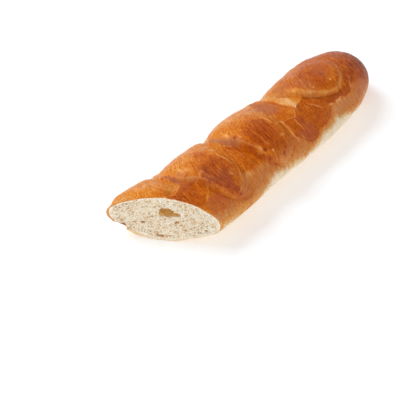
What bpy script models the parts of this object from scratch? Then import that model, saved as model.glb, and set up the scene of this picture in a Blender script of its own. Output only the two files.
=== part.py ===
"""A short white baguette with slanting scores, cut off at a slant at one end.

One solid, in metres, +Z up. +X runs along the loaf, from the cut to the rounded end. The origin
is under the middle of the loaf's box, on the flat strip that it rests on.
"""

import math
from dataclasses import dataclass

import bmesh
import bpy
import numpy as np

MM = 0.001

# The loaf before scoring. Along it, x is measured from the middle of the cut.
CUT_TO_TIP = 279.2 * MM
END_CAP = 66.0 * MM
WIDTH_AT_CUT = 74.6 * MM
WIDTH_LOSS = 0.018
HEIGHT_AT_CUT = 45.6 * MM
HEIGHT_GAIN = 0.0042
WIDEST_AT = 0.432
LEFT_TOP_POWER = 2.25
RIGHT_TOP_POWER = 1.85
LEFT_BELLY_POWER = 1.6
RIGHT_BELLY_POWER = 1.48
SIDE_POWER = 2.0
SIDE_BAND = 0.35
CAP_TOP_POWER = 2.2
CAP_BELLY_POWER = 3.0
CAP_SIDE_POWER = 2.3
BASE_TRIM = 1.2 * MM

# The centre line sags to the right of +X near the cut and swings left at the rounded end.
SWAY_X = 60.0 * MM
SWAY_Y = -5.8 * MM
SWAY_AT_TIP = 12.0 * MM

# The knife went down upright, turned this far from square across the loaf.
CUT_ANGLE = math.radians(31.1)

# The large bubble that the knife opened: its place across and above the base, and its size.
BUBBLE_ACROSS = -9.5 * MM
BUBBLE_HEIGHT = 27.5 * MM
BUBBLE_HALF_WIDTH = 8.0 * MM
BUBBLE_HALF_HEIGHT = 4.4 * MM
BUBBLE_DEPTH = 8.0 * MM
BUBBLE_WAIST = 0.8
BUBBLE_WAIST_DEPTH = 6.0 * MM

# Relief of the scores. Angles go round the loaf: 0 at the right side, 90 on top, 180 at the left.
ARC_PER_DEGREE = 0.56 * MM
SCORE_FLOOR = -3.0 * MM
END_FLOOR = 0.8 * MM
END_FLOOR_FROM = 200.0 * MM
END_FLOOR_TO = 226.0 * MM
GROOVE_DEPTH = 0.9 * MM
GROOVE_WIDTH = 4.5 * MM
LIP_ROUNDING = 4.2 * MM
LIP_SOFT_ANGLE = 95.0
TIP_ROUNDING = 5.0 * MM
TURN_ANGLE = 135.0
TURN_BACK = 0.55 * MM
SCORED_FROM = -6.0
SCORED_FULLY_FROM = 40.0
SCORED_FULLY_TO = 152.0
SCORED_TO = 190.0
SWELL_SPREAD = 16.0

# The knife pressed the crust inward along the cut and tore it at the lower left: angle, depth in
# millimetres, and spread in degrees.
PRESSED = (
    (69, 1.4, 50),
    (130, 3.4, 24),
    (151, 3.0, 15),
    (195, 6.9, 13),
    (216, 2.0, 23),
    (313, 0.9, 24),
)
PRESSED_REACH = 6.0 * MM

# Fineness of the mesh.
AROUND = 64
BODY_RINGS = 54
CAP_RINGS = 12
FACE_RINGS = 2
SQUARE_FROM = 0.5
SHARP_EDGE = math.radians(50.0)

# Guards against dividing by nothing, and the steps that settle the cut's outline.
NEARLY_ALL = 0.99999
LEAST_HALF_WIDTH = 0.1 * MM
OUTLINE_STEPS = 30


@dataclass
class Lobe:
    """A tongue of skin between two scores, widening from its tip up and over to the left side."""

    tip_x: float
    tip_angle: float
    curl: float
    half_width: float
    fill_out: float
    spread: float
    height: float
    dome_power: float
    lip_softening: float


LOBES = (
    Lobe(-28.0 * MM, 83.0, 0.0, 48.0 * MM, 2.5 * MM, 0.0, 5.4 * MM, 8.0, 0.0),
    Lobe(57.0 * MM, 13.0, 2.0, 12.0 * MM, 4.0 * MM, 0.26, 5.4 * MM, 4.0, 0.26 * MM),
    Lobe(116.0 * MM, 13.0, 1.3, 15.5 * MM, 3.0 * MM, 0.24, 6.8 * MM, 4.0, 0.14 * MM),
    Lobe(208.0 * MM, 43.0, 8.0, 29.0 * MM, 8.0 * MM, 0.0, 5.0 * MM, 5.0, 0.30 * MM),
)

# Slow swells and hollows of the skin: x and angle of the middle, height and length in millimetres.
SWELLS = (
    (30, 4, 0.4, 14),
    (54, 4, 0.3, 16),
    (94, 4, -2.7, 16),
    (118, 4, -1.8, 12),
    (180, 4, 2.0, 16),
    (206, 4, 1.1, 12),
    (247, 4, -1.3, 14),
    (77, 154, 0.9, 8),
    (152, 152, 2.4, 7),
    (213, 152, 1.2, 10),
    (248, 144, -1.2, 12),
)


def ease(low, high, value):
    """0 up to low, 1 from high on, with a smooth ramp between."""
    share = np.clip((value - low) / (high - low), 0.0, 1.0)
    return share * share * (3.0 - 2.0 * share)


def bump_at(distance, reach):
    """1 at distance 0, falling smoothly to 0 at reach."""
    return np.clip(1.0 - (distance / reach) ** 2, 0.0, 1.0) ** 2


def cap_taper(x, power):
    """How far the section keeps its size at x: 1 along the body, 0 at the rounded tip."""
    run = np.clip((x - (CUT_TO_TIP - END_CAP)) / END_CAP, 0.0, NEARLY_ALL)
    return (1.0 - run**power) ** (1.0 / power)


def sway(x):
    """Sideways place of the centre line at x."""
    return SWAY_Y + SWAY_AT_TIP * ((x - SWAY_X) / (CUT_TO_TIP - SWAY_X)) ** 2


def lobe_relief(lobe, x, angle):
    """Height of one lobe above the score floor, and its groove where the skin overhangs it."""
    run = (angle - lobe.tip_angle) * ARC_PER_DEGREE
    inside = np.maximum(run, 0.0)
    middle = lobe.tip_x - lobe.curl * inside**2
    middle = middle + TURN_BACK * np.maximum(angle - TURN_ANGLE, 0.0)
    half = lobe.half_width * (1.0 - np.exp(-inside / lobe.fill_out)) + lobe.spread * inside
    half = np.maximum(half, LEAST_HALF_WIDTH)
    from_lip = x - (middle - half)
    share = np.clip(from_lip / (2.0 * half), 0.0, 1.0)
    rounding = LIP_ROUNDING + lobe.lip_softening * np.maximum(angle - LIP_SOFT_ANGLE, 0.0)
    rise = 1.0 - np.exp(-np.maximum(from_lip, 0.0) / rounding)
    dome = rise * (1.0 - share**lobe.dome_power) * (1.0 - np.exp(-inside / TIP_ROUNDING))
    groove = np.exp(-((np.minimum(from_lip, 0.0) / GROOVE_WIDTH) ** 2)) * (1.0 - rise)
    return lobe.height * dome - GROOVE_DEPTH * groove * ease(0.0, TIP_ROUNDING, run)


def relief(x, angle):
    """Radial distance of the scored crust from the smooth loaf."""
    scored = ease(SCORED_FROM, SCORED_FULLY_FROM, angle)
    scored = scored * (1.0 - ease(SCORED_FULLY_TO, SCORED_TO, angle))
    floor = SCORE_FLOOR + (END_FLOOR - SCORE_FLOOR) * ease(END_FLOOR_FROM, END_FLOOR_TO, x)
    floor = floor * cap_taper(x, CAP_TOP_POWER)
    total = floor + sum(lobe_relief(lobe, x, angle) for lobe in LOBES)
    swell = 0.0
    for swell_x, swell_angle, swell_height, swell_length in SWELLS:
        along = ((x / MM - swell_x) / swell_length) ** 2
        around = ((angle - swell_angle) / SWELL_SPREAD) ** 2
        swell = swell + swell_height * MM * np.exp(-along - around)
    return total * scored + swell


def pressed_in(angle):
    """How far inside the smooth loaf the crust's edge stands at the cut."""
    depth = 0.0
    for middle, most, spread in PRESSED:
        depth = depth + most * MM * np.exp(-(((angle - middle) / spread) ** 2))
    return depth


def skin(x, angle):
    """The crust's y and z at x, in the direction angle from the section's middle."""
    width = WIDTH_AT_CUT - WIDTH_LOSS * x
    height = HEIGHT_AT_CUT + HEIGHT_GAIN * x
    middle = WIDEST_AT * height
    across = np.cos(np.radians(angle))
    upward = np.sin(np.radians(angle))
    over = upward >= 0.0
    left = across < 0.0
    top_power = np.where(left, LEFT_TOP_POWER, RIGHT_TOP_POWER)
    belly_power = np.where(left, LEFT_BELLY_POWER, RIGHT_BELLY_POWER)
    power = np.where(over, top_power, belly_power)
    power = SIDE_POWER + (power - SIDE_POWER) * ease(0.0, SIDE_BAND, np.abs(upward))
    side = 0.5 * width * cap_taper(x, CAP_SIDE_POWER)
    top = (height - middle) * cap_taper(x, CAP_TOP_POWER)
    belly = middle * cap_taper(x, CAP_BELLY_POWER)
    reach = np.where(over, top, belly)
    smooth = (np.abs(across / side) ** power + np.abs(upward / reach) ** power) ** (-1.0 / power)
    wrapped = np.where(angle > 270.0, angle - 360.0, angle)
    behind_cut = x + math.tan(CUT_ANGLE) * (sway(x) - smooth * across)
    raised = relief(x, wrapped)
    raised = raised - (raised + pressed_in(angle)) * bump_at(behind_cut, PRESSED_REACH)
    radius = smooth + raised
    y = sway(x) - radius * across
    z = np.maximum(middle + radius * upward - BASE_TRIM, 0.0)
    return y, z


def cut_outline(angle):
    """Where the crust meets the cut: x, y and z for each angle."""
    x = np.zeros_like(angle)
    for _ in range(OUTLINE_STEPS):
        y, z = skin(x, angle)
        x = 0.5 * (x - math.tan(CUT_ANGLE) * y)
    return x, y, z


def skin_rings(angle):
    """Rings of points from the slanting cut to just short of the tip, turning square on the way."""
    cut_x, _, _ = cut_outline(angle)
    cap_x = CUT_TO_TIP - END_CAP
    rings = []
    for i in range(BODY_RINGS):
        slant = 1.0 - ease(SQUARE_FROM, 1.0, i / BODY_RINGS)
        rings.append(cut_x * slant + cap_x * i / BODY_RINGS)
    for i in range(CAP_RINGS):
        rings.append(np.full_like(angle, cap_x + END_CAP * math.sin(0.5 * math.pi * i / CAP_RINGS)))
    return [np.stack((x, *skin(x, angle)), axis=1) for x in rings]


def face_rings(outline):
    """Rings in the cut from the crust to the bubble's rim, then down the bubble's wall."""
    along_cut = np.array((-math.sin(CUT_ANGLE), math.cos(CUT_ANGLE), 0.0))
    into_loaf = np.array((math.cos(CUT_ANGLE), math.sin(CUT_ANGLE), 0.0))
    upward = np.array((0.0, 0.0, 1.0))
    centre = BUBBLE_ACROSS * along_cut + BUBBLE_HEIGHT * upward
    seen = np.arctan2((outline - centre) @ upward, (outline - centre) @ along_cut)
    rim = centre + np.outer(BUBBLE_HALF_WIDTH * np.cos(seen), along_cut)
    rim = rim + np.outer(BUBBLE_HALF_HEIGHT * np.sin(seen), upward)
    rings = []
    for i in range(1, FACE_RINGS + 1):
        share = i / (FACE_RINGS + 1)
        rings.append(outline + (rim - outline) * share)
    rings.append(rim)
    rings.append(centre + BUBBLE_WAIST * (rim - centre) + BUBBLE_WAIST_DEPTH * into_loaf)
    return rings, centre + BUBBLE_DEPTH * into_loaf


def close_end(bm, ring, point, flip):
    """A fan of faces from a ring to one point."""
    pole = bm.verts.new(point)
    for a, b in zip(ring, ring[1:] + ring[:1]):
        bm.faces.new((b, a, pole) if flip else (a, b, pole))


def loaf_mesh():
    """The closed loaf: skin rings, the rounded tip, and the cut with its bubble."""
    angle = np.arange(AROUND) * 360.0 / AROUND
    rings = skin_rings(angle)
    inner, bubble_floor = face_rings(rings[0])
    tip = (CUT_TO_TIP, float(sway(CUT_TO_TIP)), WIDEST_AT * HEIGHT_AT_CUT - BASE_TRIM)
    bm = bmesh.new()
    loops = [[bm.verts.new(point) for point in ring] for ring in inner[::-1] + rings]
    for near, far in zip(loops, loops[1:]):
        for i in range(AROUND):
            j = (i + 1) % AROUND
            bm.faces.new((near[i], near[j], far[j], far[i]))
    close_end(bm, loops[-1], tip, flip=False)
    close_end(bm, loops[0], bubble_floor, flip=True)
    for face in bm.faces:
        face.smooth = True
    crumb_loops = set()
    for loop in loops[: len(inner)]:
        crumb_loops.update(loop)
    for face in bm.faces:
        face.material_index = 1 if crumb_loops.intersection(face.verts) else 0
    bmesh.ops.recalc_face_normals(bm, faces=bm.faces)
    mesh = bpy.data.meshes.new("baguette")
    bm.to_mesh(mesh)
    bm.free()
    return mesh


def surface(name, colour, roughness):
    """A plain Principled material."""
    material = bpy.data.materials.new(name)
    material.use_nodes = True
    shader = material.node_tree.nodes["Principled BSDF"]
    shader.inputs["Base Color"].default_value = (*colour, 1.0)
    shader.inputs["Roughness"].default_value = roughness
    shader.inputs["Metallic"].default_value = 0.0
    return material


def centre_on_base(mesh):
    """Moves the mesh so that the origin lies under the middle of its box, on the base."""
    points = np.array([vertex.co for vertex in mesh.vertices])
    middle = 0.5 * (points.min(axis=0) + points.max(axis=0))
    for vertex in mesh.vertices:
        vertex.co.x -= middle[0]
        vertex.co.y -= middle[1]


def main():
    for thing in list(bpy.data.objects):
        bpy.data.objects.remove(thing)
    mesh = loaf_mesh()
    centre_on_base(mesh)
    mesh.set_sharp_from_angle(angle=SHARP_EDGE)
    mesh.materials.append(surface("crust", (0.46, 0.17, 0.045), 0.38))
    mesh.materials.append(surface("crumb", (0.80, 0.66, 0.47), 0.85))
    loaf = bpy.data.objects.new("baguette", mesh)
    bpy.context.scene.collection.objects.link(loaf)


main()
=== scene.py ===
"""The looks of a cut white baguette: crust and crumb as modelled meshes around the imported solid.

Everything is in metres. The loaf's own x runs from the middle of the cut to the rounded tip, and
angles go round it: 0 at the right side (-Y), 90 on top, 180 at the left side, 270 underneath.
"""

import math
from collections import namedtuple

import bpy
import numpy as np
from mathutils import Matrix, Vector


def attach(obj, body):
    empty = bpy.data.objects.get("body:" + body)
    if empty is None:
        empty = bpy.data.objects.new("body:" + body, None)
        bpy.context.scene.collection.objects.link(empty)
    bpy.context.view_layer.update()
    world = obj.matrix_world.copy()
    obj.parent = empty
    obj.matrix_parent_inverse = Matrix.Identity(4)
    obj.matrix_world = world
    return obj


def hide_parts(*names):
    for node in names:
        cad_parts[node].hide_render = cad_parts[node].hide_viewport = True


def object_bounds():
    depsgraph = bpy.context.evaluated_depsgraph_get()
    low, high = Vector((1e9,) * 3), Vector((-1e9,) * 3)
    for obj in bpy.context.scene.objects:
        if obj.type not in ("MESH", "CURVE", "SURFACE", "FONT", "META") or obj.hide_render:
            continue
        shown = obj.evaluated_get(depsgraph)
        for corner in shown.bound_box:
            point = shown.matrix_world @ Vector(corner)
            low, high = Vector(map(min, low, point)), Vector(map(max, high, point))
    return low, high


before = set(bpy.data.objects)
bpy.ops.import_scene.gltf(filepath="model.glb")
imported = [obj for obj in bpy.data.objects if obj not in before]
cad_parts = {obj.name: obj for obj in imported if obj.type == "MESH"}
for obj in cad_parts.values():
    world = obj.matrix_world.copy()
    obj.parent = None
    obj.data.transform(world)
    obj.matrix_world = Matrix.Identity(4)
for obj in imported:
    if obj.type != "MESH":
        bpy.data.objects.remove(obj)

MM = 0.001
CAD_LOW, CAD_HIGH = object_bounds()

# --- The loaf before scoring, as the solid has it ---
CUT_TO_TIP = 279.2 * MM
END_CAP = 66.0 * MM
WIDTH_AT_CUT = 74.6 * MM
WIDTH_LOSS = 0.018
HEIGHT_AT_CUT = 45.6 * MM
HEIGHT_GAIN = 0.0042
WIDEST_AT = 0.432
LEFT_TOP_POWER = 2.25
RIGHT_TOP_POWER = 1.85
LEFT_BELLY_POWER = 1.6
RIGHT_BELLY_POWER = 1.48
SIDE_POWER = 2.0
SIDE_BAND = 0.35
CAP_TOP_POWER = 2.2
CAP_BELLY_POWER = 3.0
CAP_SIDE_POWER = 2.3
BASE_TRIM = 1.2 * MM
SWAY_X = 60.0 * MM
SWAY_Y = -5.8 * MM
SWAY_AT_TIP = 12.0 * MM
CUT_ANGLE = math.radians(31.1)

# Relief of the scores.
ARC_PER_DEGREE = 0.56 * MM
SCORE_FLOOR = -3.0 * MM
END_FLOOR = 0.8 * MM
END_FLOOR_FROM = 200.0 * MM
END_FLOOR_TO = 226.0 * MM
GROOVE_DEPTH = 1.3 * MM
GROOVE_WIDTH = 2.6 * MM
LIP_ROUNDING = 2.2 * MM
LIP_SOFT_ANGLE = 95.0
TIP_ROUNDING = 4.0 * MM
LEAST_HALF_WIDTH = 0.1 * MM
TURN_ANGLE = 135.0
TURN_BACK = 0.55 * MM
SCORED_ANGLES = (-6.0, 40.0, 152.0, 190.0)
SWELL_SPREAD = 16.0

# A tongue of skin between two scores, widening from its tip up and over to the left side. Lengths
# are in millimetres, curl is per metre, and softening is in millimetres per degree.
Lobe = namedtuple(
    "Lobe", "tip_x tip_angle curl half_width fill_out spread height dome_power lip_softening"
)
LOBES = (
    Lobe(-28, 83, 0, 48, 2.5, 0, 5.4, 8, 0),
    Lobe(57, 13, 2, 12, 4, 0.26, 5.4, 4, 0.26),
    Lobe(116, 13, 1.3, 15.5, 3, 0.24, 6.8, 4, 0.14),
    Lobe(208, 43, 8, 29, 8, 0, 5, 5, 0.3),
)
# Slow swells and hollows of the skin: x and angle of the middle, height and length in millimetres.
SWELLS = (
    (30, 4, 0.4, 14), (54, 4, 0.3, 16), (94, 4, -2.7, 16), (118, 4, -1.8, 12), (180, 4, 2, 16),
    (206, 4, 1.1, 12), (247, 4, -1.3, 14), (77, 154, 0.9, 8), (152, 152, 2.4, 7),
    (213, 152, 1.2, 10), (248, 144, -1.2, 12),
)

# The knife pressed the crust inward along the cut and tore it at the lower left: angle, depth in
# millimetres, and spread in degrees.
PRESSED = (
    (69, 1.4, 50), (130, 3.4, 24), (151, 3, 15), (195, 6.9, 13), (216, 2, 23), (313, 0.9, 24),
)
PRESSED_REACH = 6.0 * MM
# The cut's edge is found by halving the error this many times.
CUT_STEPS = 30

# Fineness of the crust mesh: rings along the loaf and points round it, fewer underneath. Rings
# slant with the cut up to a share of the body, and from there turn square to the loaf.
BODY_RINGS = 340
CAP_RINGS = 92
AROUND = 228
SQUARE_FROM = 0.5
UNDERSIDE_DENSITY = 0.3
DENSE_ANGLES = (-25.0, -10.0, 190.0, 205.0)
# Where the outline is measured for that, and in how many steps.
OUTLINE_X = 130.0 * MM
OUTLINE_SAMPLES = 3601
# Where the loaf's width is measured to centre it: from x, in how many places, degrees apart.
MEASURED_FROM = -30.0 * MM
MEASURED_PLACES = 400
MEASURED_EVERY = 2.0

# The camera, on the loaf's own axes, and the even light.
CAMERA_TURN = 50.22912
CAMERA_TILT = 40.0
CAMERA_DISTANCE = 800.0 * MM
CAMERA_LENS = 93.08
CAMERA_SENSOR = 36.0
CAMERA_AIM = (40.18 * MM, -9.4577 * MM, 18.8 * MM)
WORLD_STRENGTH = 0.55
# The soft lights: name, place, size, power, colour, and the point they look at, in metres.
LIGHTS = (
    ("key", (-0.35, 1.3, 1.5), 1.2, 26.0, (1.0, 0.98, 0.95), (0.0, 0.0, 0.0)),
    ("fill", (-1.6, -1.0, 0.8), 1.4, 9.5, (1.0, 1.0, 1.0), (-0.1, 0.0, 0.0)),
)
FLOOR_HALF = 3.0

# Where the knife tore the skin at the cut.
TORN_ANGLE = 205.0
TORN_SPREAD = 22.0
TORN_REACH = 3.0 * MM
TORN_BAKE = 0.3
TORN_BLUSH = 0.35
SHRED_SIZE = 2.4 * MM
FINE_SHRED_SIZE = 1.1 * MM
# The crust that still stands out round the tear: height, and where it begins, is full and ends.
FLAP_HEIGHT = 3.3 * MM
FLAP_ANGLES = (195.0, 209.0, 214.0, 242.0)
FLAP_REACH = 7.0 * MM
# The corner beside it, its spur and its notch: angle, height in millimetres, spread in degrees.
CORNER_SHAPE = ((168, 1.4, 15), (187, 1.3, 2.5), (192, -3.0, 3.2))

# Where the relief of the top, and all relief off the flat base, begins, is full, and ends, and
# how sharply it fades at the tip.
TOP_ANGLES = (-8.0, 25.0, 158.0, 196.0)
OFF_BASE_ANGLES = (-80.0, -40.0, 215.0, 262.0)
NOSE_SMOOTH_POWER = 6.0
# The skin between its details: how far drawn lines stray, the sizes and heights of the dough's
# unevenness, and of wrinkles, in millimetres along and across the stretch.
STRAY = 0.9 * MM
SLOW_SIZE = 8.0 * MM
QUICK_SIZE = 2.6 * MM
SLOW_HEIGHT = 0.25 * MM
QUICK_HEIGHT = 0.09 * MM
WRINKLE_SIZE = (7.0, 1.8)
FINE_WRINKLE_SIZE = (4.0, 1.0)
WRINKLE_HEIGHT = 0.26
FINE_WRINKLE_HEIGHT = 0.14
TAUT_SIZE = 15.0 * MM
BLISTER_SPACING = 6.5 * MM
BLISTER_RADIUS = 1.3 * MM
BLISTER_HEIGHT = 0.25 * MM
BLISTER_RARITY = (0.8, 0.86)
# Browner towards the tip, a blush on the right side, and on the left side a painted purple-grey
# sheen where it is seen at a grazing angle: angle, reach and strength.
END_BROWNS = (150.0 * MM, 250.0 * MM)
END_BROWNING = 0.05
RIGHT_BLUSH = (20.0, 24.0, 0.35)
RIGHT_BLUSH_FROM = (20.0 * MM, 60.0 * MM)
LEFT_GRAZING_SHEEN = (150.0, 22.0, 0.25)
# The tray kept the underside pale, up to an edge on the left that sinks towards the nose. The nose
# stood clear of the tray, so it is browned all round.
EDGE_STRAY = 2.5
EDGE_STRAY_SIZE = 7.0 * MM
RIGHT_EDGE_FADE = (-9.0, 6.0)
LEFT_EDGE = 215.0
LEFT_EDGE_FADE = 35.0
LEFT_EDGE_SINKS_BY = 22.0
LEFT_EDGE_SINKS = (235.0 * MM, 276.0 * MM)
NOSE = (250.0 * MM, 274.0 * MM)
NOSE_BAKE = 0.58
LOW_ON_RIGHT = (-25.0, 5.0)
LOW_ON_LEFT = (185.0, 225.0)
FLOUR_PALES = 0.85
FLOUR_HIDES_BLUSH = 0.7
ROSY_ANGLES = (32.0, 58.0)

# The crust's cut edge, thicker at the left corner and by a share of the flap's height, and the
# pocket behind it that holds the crumb.
CRUST_THICKNESS = 0.9 * MM
CORNER_THICKNESS = 1.2 * MM
CORNER_ANGLE = 180.0
CORNER_SPREAD = 12.0
FLAP_SHARE = 0.75
POCKET_DEPTH = 11.0 * MM
POCKET_INSET = 4.0 * MM


# --- Small tools ---


def ease(low, high, value):
    """0 up to low, 1 from high on, with a smooth ramp between."""
    share = np.clip((value - low) / (high - low), 0.0, 1.0)
    return share * share * (3.0 - 2.0 * share)


def bump_at(distance, reach):
    """1 at distance 0, falling smoothly to 0 at reach."""
    return np.clip(1.0 - (distance / reach) ** 2, 0.0, 1.0) ** 2


def bell(distance, reach):
    """1 at distance 0, falling smoothly to about a third at reach and on towards 0."""
    return np.exp(-((distance / reach) ** 2))


def bells(value, rows):
    """Bell curves added up: each row is a middle, a height in millimetres and a reach."""
    return sum(height * MM * bell(value - middle, reach) for middle, height, reach in rows)


def plateau(value, marks):
    """0 up to the first of four marks, 1 between the inner two, and 0 from the last one on."""
    begins, full, holds, ends = marks
    return ease(begins, full, value) * (1.0 - ease(holds, ends, value))


def pairs_of(line):
    """Pairs of numbers from a line of text, such as points by x in millimetres and angle."""
    return np.array([pair.split(",") for pair in line.split()], dtype=float)


def read_off(value, pairs):
    """What a list of pairs says at a value, in a straight line between one pair and the next."""
    return np.interp(value, *pairs.T)


def turned(first, second, lean):
    """Two distances as they read on axes turned by lean."""
    along = first * math.cos(lean) + second * math.sin(lean)
    return along, second * math.cos(lean) - first * math.sin(lean)


def hashed(*whole, seed):
    """A repeatable random number from 0 to 1 for each set of whole numbers."""
    mixed = np.full(np.shape(whole[0]), 374761393 * (seed + 1), dtype=np.uint64)
    for step, axis in enumerate(whole):
        axis = (np.asarray(axis).astype(np.int64) & 0xFFFFFFFF).astype(np.uint64)
        mixed = (mixed ^ (axis * np.uint64(668265263 + 2 * step))) & np.uint64(0xFFFFFFFF)
        mixed = (mixed * np.uint64(2246822519)) & np.uint64(0xFFFFFFFF)
        mixed = mixed ^ (mixed >> np.uint64(15))
    mixed = (mixed * np.uint64(3266489917)) & np.uint64(0xFFFFFFFF)
    mixed = mixed ^ (mixed >> np.uint64(13))
    return (mixed & np.uint64(0xFFFFFF)).astype(np.float64) / 0xFFFFFF


def noise(points, size, seed):
    """Smooth random field from -1 to 1 with features of about the given size."""
    scaled = np.asarray(points) / size
    base = np.floor(scaled).astype(np.int64)
    part = scaled - base
    part = part * part * part * (part * (6.0 * part - 15.0) + 10.0)
    total = 0.0
    dims = scaled.shape[-1]
    for corner in range(2**dims):
        weight = 1.0
        cell = []
        for axis in range(dims):
            high = (corner >> axis) & 1
            weight = weight * (part[..., axis] if high else 1.0 - part[..., axis])
            cell.append(base[..., axis] + high)
        total += weight * hashed(*cell, seed=seed)
    return 2.0 * total - 1.0


def cells(points, size, seed):
    """Distance to the nearest of many scattered centres in the plane, and its random number."""
    scaled = np.asarray(points) / size
    base = np.floor(scaled).astype(np.int64)
    nearest = np.full(scaled.shape[:-1], np.inf)
    number = np.zeros_like(nearest)
    for step_a in (-1, 0, 1):
        for step_b in (-1, 0, 1):
            cell_a = base[..., 0] + step_a
            cell_b = base[..., 1] + step_b
            centre_a = cell_a + hashed(cell_a, cell_b, seed=seed)
            centre_b = cell_b + hashed(cell_a, cell_b, seed=seed + 1)
            far = np.hypot(scaled[..., 0] - centre_a, scaled[..., 1] - centre_b)
            number = np.where(far < nearest, hashed(cell_a, cell_b, seed=seed + 2), number)
            nearest = np.minimum(nearest, far)
    return nearest * size, number


# --- Shape of the loaf ---


def cap_taper(x, power):
    """How far the section keeps its size at x: 1 along the body, 0 at the rounded tip."""
    run = np.clip((x - (CUT_TO_TIP - END_CAP)) / END_CAP, 0.0, 0.99999)
    return (1.0 - run**power) ** (1.0 / power)


def sway(x):
    """Sideways place of the centre line at x."""
    return SWAY_Y + SWAY_AT_TIP * ((x - SWAY_X) / (CUT_TO_TIP - SWAY_X)) ** 2


def lobe_relief(lobe, x, angle):
    """Height of one lobe above the score floor, and its groove where the skin overhangs it."""
    run = (angle - lobe.tip_angle) * ARC_PER_DEGREE
    inside = np.maximum(run, 0.0)
    middle = lobe.tip_x * MM - lobe.curl * inside**2
    middle += TURN_BACK * np.maximum(angle - TURN_ANGLE, 0.0)
    half = lobe.half_width * MM * (1.0 - np.exp(-inside / (lobe.fill_out * MM)))
    half = np.maximum(half + lobe.spread * inside, LEAST_HALF_WIDTH)
    from_lip = x - (middle - half)
    share = np.clip(from_lip / (2.0 * half), 0.0, 1.0)
    softer = lobe.lip_softening * MM * np.maximum(angle - LIP_SOFT_ANGLE, 0.0)
    rise = 1.0 - np.exp(-np.maximum(from_lip, 0.0) / (LIP_ROUNDING + softer))
    dome = rise * (1.0 - share**lobe.dome_power) * (1.0 - np.exp(-inside / TIP_ROUNDING))
    groove = bell(np.minimum(from_lip, 0.0), GROOVE_WIDTH) * (1.0 - rise)
    return lobe.height * MM * dome - GROOVE_DEPTH * groove * ease(0.0, TIP_ROUNDING, run)


def relief(x, angle):
    """Radial distance of the scored crust from the smooth loaf."""
    floor = SCORE_FLOOR + (END_FLOOR - SCORE_FLOOR) * ease(END_FLOOR_FROM, END_FLOOR_TO, x)
    floor = floor * cap_taper(x, CAP_TOP_POWER)
    total = floor + sum(lobe_relief(lobe, x, angle) for lobe in LOBES)
    swell = 0.0
    for swell_x, swell_angle, swell_height, swell_length in SWELLS:
        along = ((x / MM - swell_x) / swell_length) ** 2
        around = ((angle - swell_angle) / SWELL_SPREAD) ** 2
        swell += swell_height * MM * np.exp(-along - around)
    return total * plateau(angle, SCORED_ANGLES) + swell


def unrolled(angle):
    """Angle with the seam underneath: from -90 to 270."""
    return np.where(angle > 270.0, angle - 360.0, angle)


def skin(x, angle, extra=0.0):
    """The crust's y and z at x, in the direction angle from the section's middle."""
    width = WIDTH_AT_CUT - WIDTH_LOSS * x
    height = HEIGHT_AT_CUT + HEIGHT_GAIN * x
    middle = WIDEST_AT * height
    across = np.cos(np.radians(angle))
    upward = np.sin(np.radians(angle))
    over = upward >= 0.0
    left = across < 0.0
    top_power = np.where(left, LEFT_TOP_POWER, RIGHT_TOP_POWER)
    belly_power = np.where(left, LEFT_BELLY_POWER, RIGHT_BELLY_POWER)
    power = np.where(over, top_power, belly_power)
    power = SIDE_POWER + (power - SIDE_POWER) * ease(0.0, SIDE_BAND, np.abs(upward))
    side = 0.5 * width * cap_taper(x, CAP_SIDE_POWER)
    top = (height - middle) * cap_taper(x, CAP_TOP_POWER)
    belly = middle * cap_taper(x, CAP_BELLY_POWER)
    reach = np.where(over, top, belly)
    smooth = (np.abs(across / side) ** power + np.abs(upward / reach) ** power) ** (-1.0 / power)
    behind_cut = x + math.tan(CUT_ANGLE) * (sway(x) - smooth * across)
    raised = relief(x, unrolled(angle))
    raised = raised - (raised + bells(angle, PRESSED)) * bump_at(behind_cut, PRESSED_REACH)
    radius = smooth + raised + extra
    y = sway(x) - radius * across
    z = np.maximum(middle + radius * upward - BASE_TRIM, 0.0)
    return y, z


def cut_line(angle, behind=0.0, extra=0.0):
    """x of the crust where it meets a plane parallel to the cut, that far behind it."""
    x = np.zeros_like(angle)
    for _ in range(CUT_STEPS):
        y, _ = skin(x, angle, extra)
        x = 0.5 * (x - math.tan(CUT_ANGLE) * y + behind)
    return x


def even_angles():
    """Angles spaced evenly along the crust's outline, and sparser underneath."""
    fine = np.linspace(-90.0, 270.0, OUTLINE_SAMPLES)
    y, z = skin(np.full_like(fine, OUTLINE_X), fine % 360.0)
    step = np.hypot(np.diff(y), np.diff(z))
    middle = 0.5 * (fine[1:] + fine[:-1])
    density = UNDERSIDE_DENSITY + (1.0 - UNDERSIDE_DENSITY) * plateau(middle, DENSE_ANGLES)
    run = np.concatenate(([0.0], np.cumsum(step * density)))
    return np.interp(np.arange(AROUND) * run[-1] / AROUND, run, fine)


# --- Where the loaf stands in the frame: its tip and its sides touch the solid's box ---


def loaf_offset():
    """The move from the loaf's own x and y to the frame's."""
    places = np.linspace(MEASURED_FROM, CUT_TO_TIP, MEASURED_PLACES)
    angle, x = np.meshgrid(np.arange(0.0, 360.0, MEASURED_EVERY), places)
    y, _ = skin(x, angle)
    kept = x > -math.tan(CUT_ANGLE) * y
    middle = 0.5 * (y[kept].min() + y[kept].max())
    return Vector((CAD_HIGH.x - CUT_TO_TIP, 0.5 * (CAD_LOW.y + CAD_HIGH.y) - middle, 0.0))


OFFSET = loaf_offset()


# --- What the baker and the oven did to the skin, by x in millimetres and angle in degrees ---

# A piece of skin or opened dough between creases, with its own bake, blush and lift; the blush is
# partly a painted purple-grey sheen.
Fold = namedtuple("Fold", "corners bake blush lift soft strength", defaults=(0, 0, 0.8, 0.85))
# A soft oval of skin painted darker or lighter than its surroundings: mostly baked colour, and
# some painted highlights and painted shade.
Patch = namedtuple(
    "Patch", "x angle along around bake blush pale height lean", defaults=(0, 0, 0, 0)
)
# A line on the crust: a crease, a ridge, a wrinkle or a crack, and a few bands of painted sheen
# and painted highlight.
Stroke = namedtuple("Stroke", "path width height bake pale blush", defaults=(0, 0, 0))

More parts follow.
